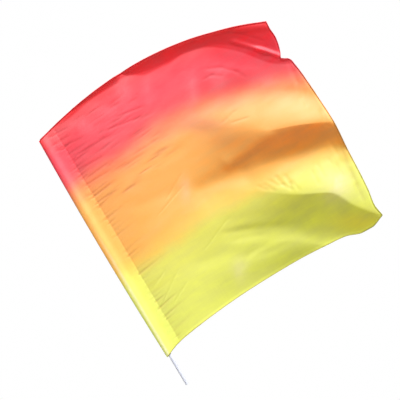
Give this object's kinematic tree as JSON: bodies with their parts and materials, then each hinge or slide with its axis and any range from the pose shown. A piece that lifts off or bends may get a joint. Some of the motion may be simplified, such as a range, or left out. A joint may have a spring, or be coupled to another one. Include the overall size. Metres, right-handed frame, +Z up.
{
  "type": "worship flag on a rod",
  "caption": "Square silk flag flying in soft waves from a slim white rod held in its sewn hoist sleeve, dyed red, orange and yellow.",
  "frame": {"origin": "centre of the flat grip end of the rod", "axes": "+Z up, +X to the right in the picture's view, -Y to the viewer; the rod leans 30.7 degrees from +Z towards -X and the cloth flies towards +X"},
  "size_m": [1.2353, 0.1193, 1.3067],
  "materials": {
    "silk": "thin glossy silk, dip dyed",
    "rod": "smooth white"
  },
  "bodies": {
    "root": {"flag_cloth": "silk", "flag_rod": "rod"}
  },
  "joints": []
}
